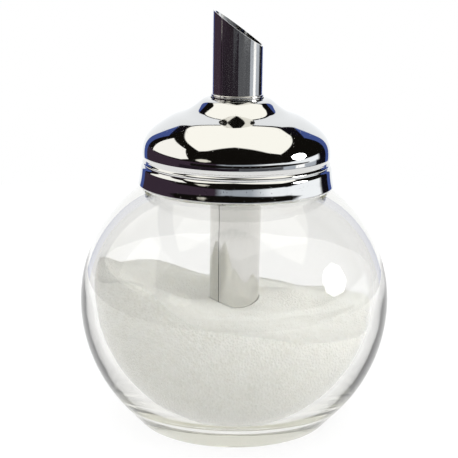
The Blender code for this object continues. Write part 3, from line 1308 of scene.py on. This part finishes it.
    def build_bush(self, plastic: bpy.types.Material) -> bpy.types.Object:
        """Builds the moulded bush under the crown.

        Args:
            plastic: The bush's material.

        Returns:
            The bush.
        """
        low, high, flange = levels_of("tube_bush")
        bore = self.hole_radius
        sleeve = bore + self.bush_wall
        drop = self.sheet + self.fit_gap + 0.12
        tops = [(r, min(high, self.dome_level(r + drop) - drop)) for r in np.linspace(bore, flange, 6)]
        edge = tops[-1][1]
        step = edge - self.bush_flange_height
        outline = tops + [(flange, step), (sleeve, step), (sleeve, low), (bore, low)]
        bush = turned("crown_bush", outline)
        soften_edges(bush, 0.15)
        end_edit(bush)
        place_piece(bush, plastic, Body.LID, "tube_bush")
        return bush

    def build_washer(self, steel: bpy.types.Material) -> bpy.types.Object:
        """Builds the spring washer: a flat ring whose bore is slit into teeth.

        Args:
            steel: The washer's material.

        Returns:
            The washer.
        """
        low, high, outer = levels_of("retaining_washer")
        bore = outer - self.washer_width
        outline = [(bore, high), (outer, high), (outer, low), (bore, low)]
        washer = turned("spring_washer", outline, steps=96)
        reach = bore + self.washer_width * 0.5
        for tooth in range(self.washer_teeth):
            turn = 2 * math.pi * (tooth + 0.5) / self.washer_teeth
            bpy.ops.object.select_all(action="DESELECT")
            bpy.ops.mesh.primitive_cube_add(
                size=1,
                location=Vector((math.cos(turn) * reach, math.sin(turn) * reach, low + high)) / 2 * MM,
                rotation=(0, 0, turn),
                scale=(reach * MM, self.washer_slit * MM, 4 * (high - low) * MM),
            )
            slit = bpy.context.object
            bpy.ops.object.transform_apply(location=True, rotation=True, scale=True)
            combine(washer, slit, "DIFFERENCE")
        soften_edges(washer, 0.06, 2)
        end_edit(washer)
        place_piece(washer, steel, Body.LID, "retaining_washer")
        return washer


# ---- studio ----------------------------------------------------------------------------------------------


def heading(azimuth: float, elevation: float) -> Vector:
    """The direction at an azimuth from the front, towards +X, and an elevation.

    Args:
        azimuth: The azimuth, in degrees.
        elevation: The elevation, in degrees.

    Returns:
        The direction, one unit long.
    """
    a, e = math.radians(azimuth), math.radians(elevation)
    return Vector((math.sin(a) * math.cos(e), -math.cos(a) * math.cos(e), math.sin(e)))


@dataclass(frozen=True)
class Card:
    """A flat card or softbox that stands round the pourer and shows in its polished metal.

    Its corners are azimuth and elevation in degrees, and its edges are straight lines in space.
    """

    corners: tuple[Point, ...]
    colour: str
    level: float = 1.0
    soft: float = 1.0  # how many degrees its edges fade over

    def edge_planes(self) -> list[Vector]:
        """The normals of the planes through the pourer and each edge, pointing into the card.

        Returns:
            One normal for each edge.
        """
        ways = [heading(*corner) for corner in self.corners]
        middle = sum(ways, Vector())
        planes = [a.cross(b).normalized() for a, b in zip(ways, ways[1:] + ways[:1])]
        return [plane if plane.dot(middle) > 0 else -plane for plane in planes]


@dataclass
class Studio:
    """A pale floor, soft light all round, and the cards that the polished lid mirrors."""

    floor_radius: float = 340.0
    aim_share: float = 0.4713  # the height that the camera aims at, as a share of the pourer's
    distance: float = 398.0
    elevation: float = 13.9
    roll: float = 0.9
    lens: float = 107.3
    shift: float = -0.0135
    glass_bounces: int = 12
    surround: str = "#120f16"
    through_light: tuple[float, float] = (0.84, 0.97)  # seen through the glass, in front and behind
    lamp: tuple[float, float] = (80.0, 28.0)
    lamp_light: float = 11.0
    lamp_edge: tuple[float, float] = (0.93, 0.985)  # cosines at which the lamp begins and is full
    even_light: float = 1.45
    fill: tuple[float, float] = (40.0, -10.0)
    fill_light: float = 0.92
    cards: tuple[Card, ...] = (
        # low in front: dark on the left, light on the right and lighter further round
        Card(((-139, 9), (-138, -40), (-70, -40), (-70, 9)), "#403340", 1.0, 3.0),
        Card(((-75, 9), (-75, -40), (-3, -40), (-3, -14), (-24, 9)), "#403340", 1.0, 6.0),
        Card(((-20, 14), (-20, -9), (70, -9), (70, 14)), "#a9b0b8", 1.18, 9.0),
        Card(((65, 14), (65, -9), (118, -9), (118, 14)), "#f4f7fa", 1.45, 6.0),
        Card(((30, 16), (30, -8), (78, -8), (78, 16)), "#f4f7fa", 1.45, 26.0),
        # what the spout mirrors, a little below level
        Card(((-72, -4.8), (-72, -11), (4, -11), (4, -4.8)), "#2b242d", 0.85, 1.0),
        Card(((4, -4.8), (4, -11), (60, -11), (60, -4.8)), "#85878d", 0.45, 1.5),
        Card(((58, -4.8), (58, -11), (116, -11), (116, -4.8)), "#b9bfc8", 1.15, 2.0),
        Card(((76, -4.8), (76, -11), (90, -11), (90, -4.8)), "#ffffff", 1.5, 2.0),
        Card(((112, -4.8), (112, -40), (134, -40), (134, -4.8)), "#15131a", 1.0, 3.0),
        # a dark edge between them and the skirt's light
        Card(((-56, 1.5), (-56, -4.8), (2, -4.8), (2, 1.5)), "#14120f", 1.0, 1.0),
        Card(((-2, 1.5), (-2, -4.8), (52, -4.8), (52, 1.5)), "#14120f", 1.0, 1.0),
        Card(((50, 1.2), (50, -4.8), (98, -4.8), (98, -3.4)), "#14120f", 1.0, 1.0),
        # the dark room above them
        Card(((-141, 4.5), (-141, 60), (-68, 60), (-68, 4.5)), "#14120f", 1.0, 1.5),
        Card(((-75, 4.6), (-75, 60), (-4, 60), (-4, 4.6)), "#14120f", 1.0, 1.5),
        Card(((-12, 4.6), (-12, 60), (68, 60), (68, 4.6)), "#14120f", 1.0, 1.5),
        Card(((60, 4.6), (60, 60), (138, 60), (138, 4)), "#14120f", 1.0, 1.5),
        # light backdrop behind, with a blue edge on both sides
        Card(((138, 36), (137, -40), (152, -40), (152, 36)), "#4a5c9c", 1.1, 0.8),
        Card(((-138, 36), (-137, -40), (-152, -40), (-152, 36)), "#4a5c9c", 1.1, 0.8),
        Card(((149, 46), (150, -60), (180, -60), (180, 51)), "#eef0f2", 1.3, 0.6),
        Card(((-149, 46), (-150, -60), (-180, -60), (-180, 51)), "#eef0f2", 1.3, 0.6),
        # softbox overhead with its front edge bowed in, softbox on the left, a small lamp in front
        Card(((-143, 46), (136, 47), (63, 35), (-59, 46)), "#fffdf4", 1.44, 1.0),
        Card(((-52, 45), (0, 25), (57, 35), (35, 66), (0, 77), (-32, 70)), "#14120f", 1.0, 3.0),
        Card(((-130, 42), (-80, 42), (-60, 13), (-70, 8), (-123, 6)), "#f6f4ee", 1.5, 0.8),
        Card(((-50, 15), (-44, 19), (-37, 19), (-31, 15), (-31, 12), (-37, 9), (-44, 9), (-50, 12)),
             "#e9e6d8", 1.3, 2.0),
        # round lamp on the right
        Card(((95, 20), (89, 25), (79, 25), (73, 20), (73, 12), (79, 7), (89, 7), (95, 12)),
             "#ffffff", 14.0, 1.0),
    )

    def build_world(self) -> None:
        """Makes the surround: white to look at, softly lit, and with the cards where metal mirrors it."""
        world = bpy.data.worlds.new("studio")
        bpy.context.scene.world = world
        world.use_nodes = True
        tree = world.node_tree
        tree.nodes.clear()
        way = add_node(tree, "ShaderNodeTexCoord").outputs["Generated"]
        seen: Any = linear(self.surround)
        for card in self.cards:
            cover: Any = 1.0
            edge = math.sin(math.radians(card.soft)) / 2
            for plane in card.edge_planes():
                inside = add_node(
                    tree, "ShaderNodeVectorMath", {"operation": "DOT_PRODUCT"}, {0: way, 1: plane}
                )
                fade = add_node(
                    tree,
                    "ShaderNodeMapRange",
                    inputs={"Value": inside.outputs["Value"], "From Min": -edge, "From Max": edge},
                )
                both = add_node(
                    tree, "ShaderNodeMath", {"operation": "MINIMUM"}, {0: fade.outputs["Result"], 1: cover}
                )
                cover = both.outputs["Value"]
            light = linear(card.colour, card.level)
            mixed = add_node(tree, "ShaderNodeMix", {"data_type": "RGBA"}, {0: cover, 6: seen, 7: light})
            seen = mixed.outputs[2]
        path = add_node(tree, "ShaderNodeLightPath")
        parts = add_node(tree, "ShaderNodeSeparateXYZ", inputs={0: way})
        through = add_node(
            tree,
            "ShaderNodeMapRange",
            inputs={
                "Value": parts.outputs["Y"],
                "From Min": -0.7,
                "From Max": 0.2,
                "To Min": self.through_light[0],
                "To Max": self.through_light[1],
            },
        )
        # What lights the sugar through the glass: light all round, fullest in front, and the lamp.
        to_lamp = add_node(
            tree, "ShaderNodeVectorMath", {"operation": "DOT_PRODUCT"}, {0: way, 1: heading(*self.lamp)}
        )
        spread = add_node(
            tree,
            "ShaderNodeMapRange",
            {"interpolation_type": "SMOOTHSTEP"},
            {
                "Value": to_lamp.outputs["Value"],
                "From Min": self.lamp_edge[0],
                "From Max": self.lamp_edge[1],
                "To Max": self.lamp_light,
            },
        )
        to_fill = add_node(
            tree, "ShaderNodeVectorMath", {"operation": "DOT_PRODUCT"}, {0: way, 1: heading(*self.fill)}
        )
        filled = add_node(
            tree,
            "ShaderNodeMapRange",
            inputs={
                "Value": to_fill.outputs["Value"],
                "From Min": -1.0,
                "To Min": self.even_light - self.fill_light,
                "To Max": self.even_light + self.fill_light,
            },
        )
        lit = add_node(
            tree,
            "ShaderNodeMath",
            {"operation": "ADD"},
            {0: spread.outputs["Result"], 1: filled.outputs["Result"]},
        )
        bounced = add_node(
            tree,
            "ShaderNodeMath",
            {"operation": "GREATER_THAN"},
            {0: path.outputs["Diffuse Depth"], 1: 0.5},
        )
        inside = add_node(
            tree,
            "ShaderNodeMix",
            {"data_type": "FLOAT"},
            {0: bounced.outputs["Value"], 2: through.outputs["Result"], 3: lit.outputs["Value"]},
        )
        plain: Any = linear("#ffffff", 0.9)
        for factor, colour in (
            (path.outputs["Is Glossy Ray"], seen),
            (path.outputs["Is Transmission Ray"], inside.outputs[0]),
            (path.outputs["Is Camera Ray"], linear("#ffffff")),
        ):
            mixed = add_node(tree, "ShaderNodeMix", {"data_type": "RGBA"}, {0: factor, 6: plain, 7: colour})
            plain = mixed.outputs[2]
        glow = add_node(tree, "ShaderNodeBackground", inputs={"Color": plain, "Strength": 1.0})
        add_node(tree, "ShaderNodeOutputWorld", inputs={"Surface": glow.outputs["Background"]})

    def build_floor(self) -> None:
        """Lays the pale floor, a lit white table top."""
        bpy.ops.object.select_all(action="DESELECT")
        bpy.ops.mesh.primitive_circle_add(vertices=128, radius=self.floor_radius * MM, fill_type="NGON")
        floor = bpy.context.object
        floor.name = "studio_floor"
        begin_edit(floor)
        bpy.ops.mesh.inset(thickness=self.floor_radius * 0.5 * MM)
        bpy.ops.object.mode_set(mode="OBJECT")
        material, _ = new_material(
            "lit_opal_acrylic",
            {
                "Base Color": linear("#7a7a7a"),
                "Roughness": 0.7,
                "Emission Color": linear("#ffffff"),
                "Emission Strength": 0.86,
                "Specular IOR Level": 0.0,
            },
        )
        floor.data.materials.append(material)
        floor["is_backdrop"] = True

    def build_lights(self) -> None:
        """Hangs the soft overhead light and a gentler one on the left."""
        for name, energy, size, place, aim in (
            ("overhead_softbox", 2.2, 0.8, (0.05, 0.05, 0.75), (0, 0, 0.05)),
            ("left_softbox", 0.5, 0.4, (-0.55, -0.05, 0.32), (0, 0, 0.05)),
        ):
            light = bpy.data.lights.new(name, "AREA")
            light.energy = energy
            light.shape = "SQUARE"
            light.size = size
            lamp = bpy.data.objects.new(name, light)
            bpy.context.scene.collection.objects.link(lamp)
            lamp.location = place
            lamp.rotation_euler = (Vector(aim) - Vector(place)).to_track_quat("-Z", "Y").to_euler()
            lamp.visible_camera = False
            lamp.visible_glossy = False

    def build_camera(self) -> None:
        """Sets up the camera in front, a little above the pourer."""
        low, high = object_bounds()
        camera = bpy.data.cameras.new("front_camera")
        camera.lens = self.lens
        camera.sensor_width = 36.0
        camera.shift_x = self.shift
        camera.clip_start = 0.01
        holder = bpy.data.objects.new("front_camera", camera)
        bpy.context.scene.collection.objects.link(holder)
        aim = Vector((0, 0, low[2] + (high[2] - low[2]) * self.aim_share))
        away = heading(0, self.elevation)
        holder.location = aim + away * (self.distance * MM)
        roll = Matrix.Rotation(math.radians(self.roll), 3, "Z")
        holder.rotation_euler = ((-away).to_track_quat("-Z", "Y").to_matrix() @ roll).to_euler()
        bpy.context.scene.camera = holder

    def build(self) -> None:
        """Builds the studio."""
        self.build_world()
        self.build_floor()
        self.build_lights()
        self.build_camera()
        bpy.context.scene.view_settings.view_transform = "Standard"
        # Light runs on inside the thick glass wall, and would end there as a black streak.
        bpy.context.scene.cycles.glossy_bounces = self.glass_bounces


# ---- assembly --------------------------------------------------------------------------------------------


def main() -> None:
    """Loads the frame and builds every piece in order."""
    logging.basicConfig(level=logging.INFO, format="%(name)s: %(message)s")
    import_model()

    plastic = MouldedPolypropylene().material()
    jar = Jar()
    lid = Lid(jar)
    jar.build(SodaLimeGlass().material())
    SugarHeap(jar).build(GranulatedSugar().material(), lid.tube_radius)
    seal = Seal()
    seal.build_ring(SiliconeRubber().material())
    seal.build_disc(plastic)
    lid.build_insert(plastic)
    lid.build_shell(PolishedChrome().material())
    lid.build_tube(RolledSteel().material())
    lid.build_bush(plastic)
    lid.build_washer(SpringSteel().material())
    Studio().build()


if __name__ == "__main__":
    main()
